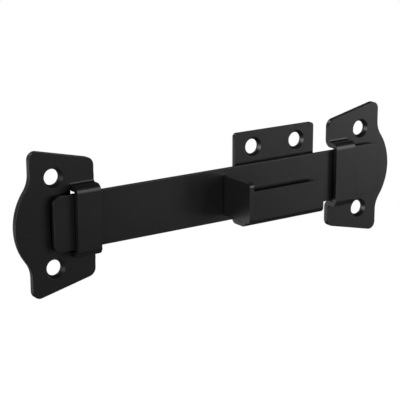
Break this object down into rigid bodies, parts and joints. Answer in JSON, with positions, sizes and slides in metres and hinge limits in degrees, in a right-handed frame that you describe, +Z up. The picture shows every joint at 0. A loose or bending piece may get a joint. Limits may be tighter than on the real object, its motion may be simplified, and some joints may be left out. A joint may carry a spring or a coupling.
{
  "type": "sliding gate latch",
  "caption": "Black gate latch: a flat bar slides through a guide plate and a covered centre bracket into a keeper plate, moved by a finger tab.",
  "frame": {"origin": "midway between the guide plate's two screw holes, on its back face", "axes": "+X along the bar from the guide plate to the keeper, -Y out of the gate towards the hand, +Z up"},
  "size_m": [0.2159, 0.0268, 0.0672],
  "materials": {
    "black_powder_coat": "satin black powder coat on steel sheet"
  },
  "bodies": {
    "mounting_plates": {"guide_plate": "black_powder_coat", "centre_bracket": "black_powder_coat", "keeper_plate": "black_powder_coat"},
    "sliding_bar": {"slide_bar": "black_powder_coat", "handle_tab": "black_powder_coat"}
  },
  "joints": [
    {"name": "bar_slide", "type": "slide", "parent": "mounting_plates", "child": "sliding_bar", "axis": [-1, 0, 0], "range_m": [-0.0064, 0.0687]}
  ]
}
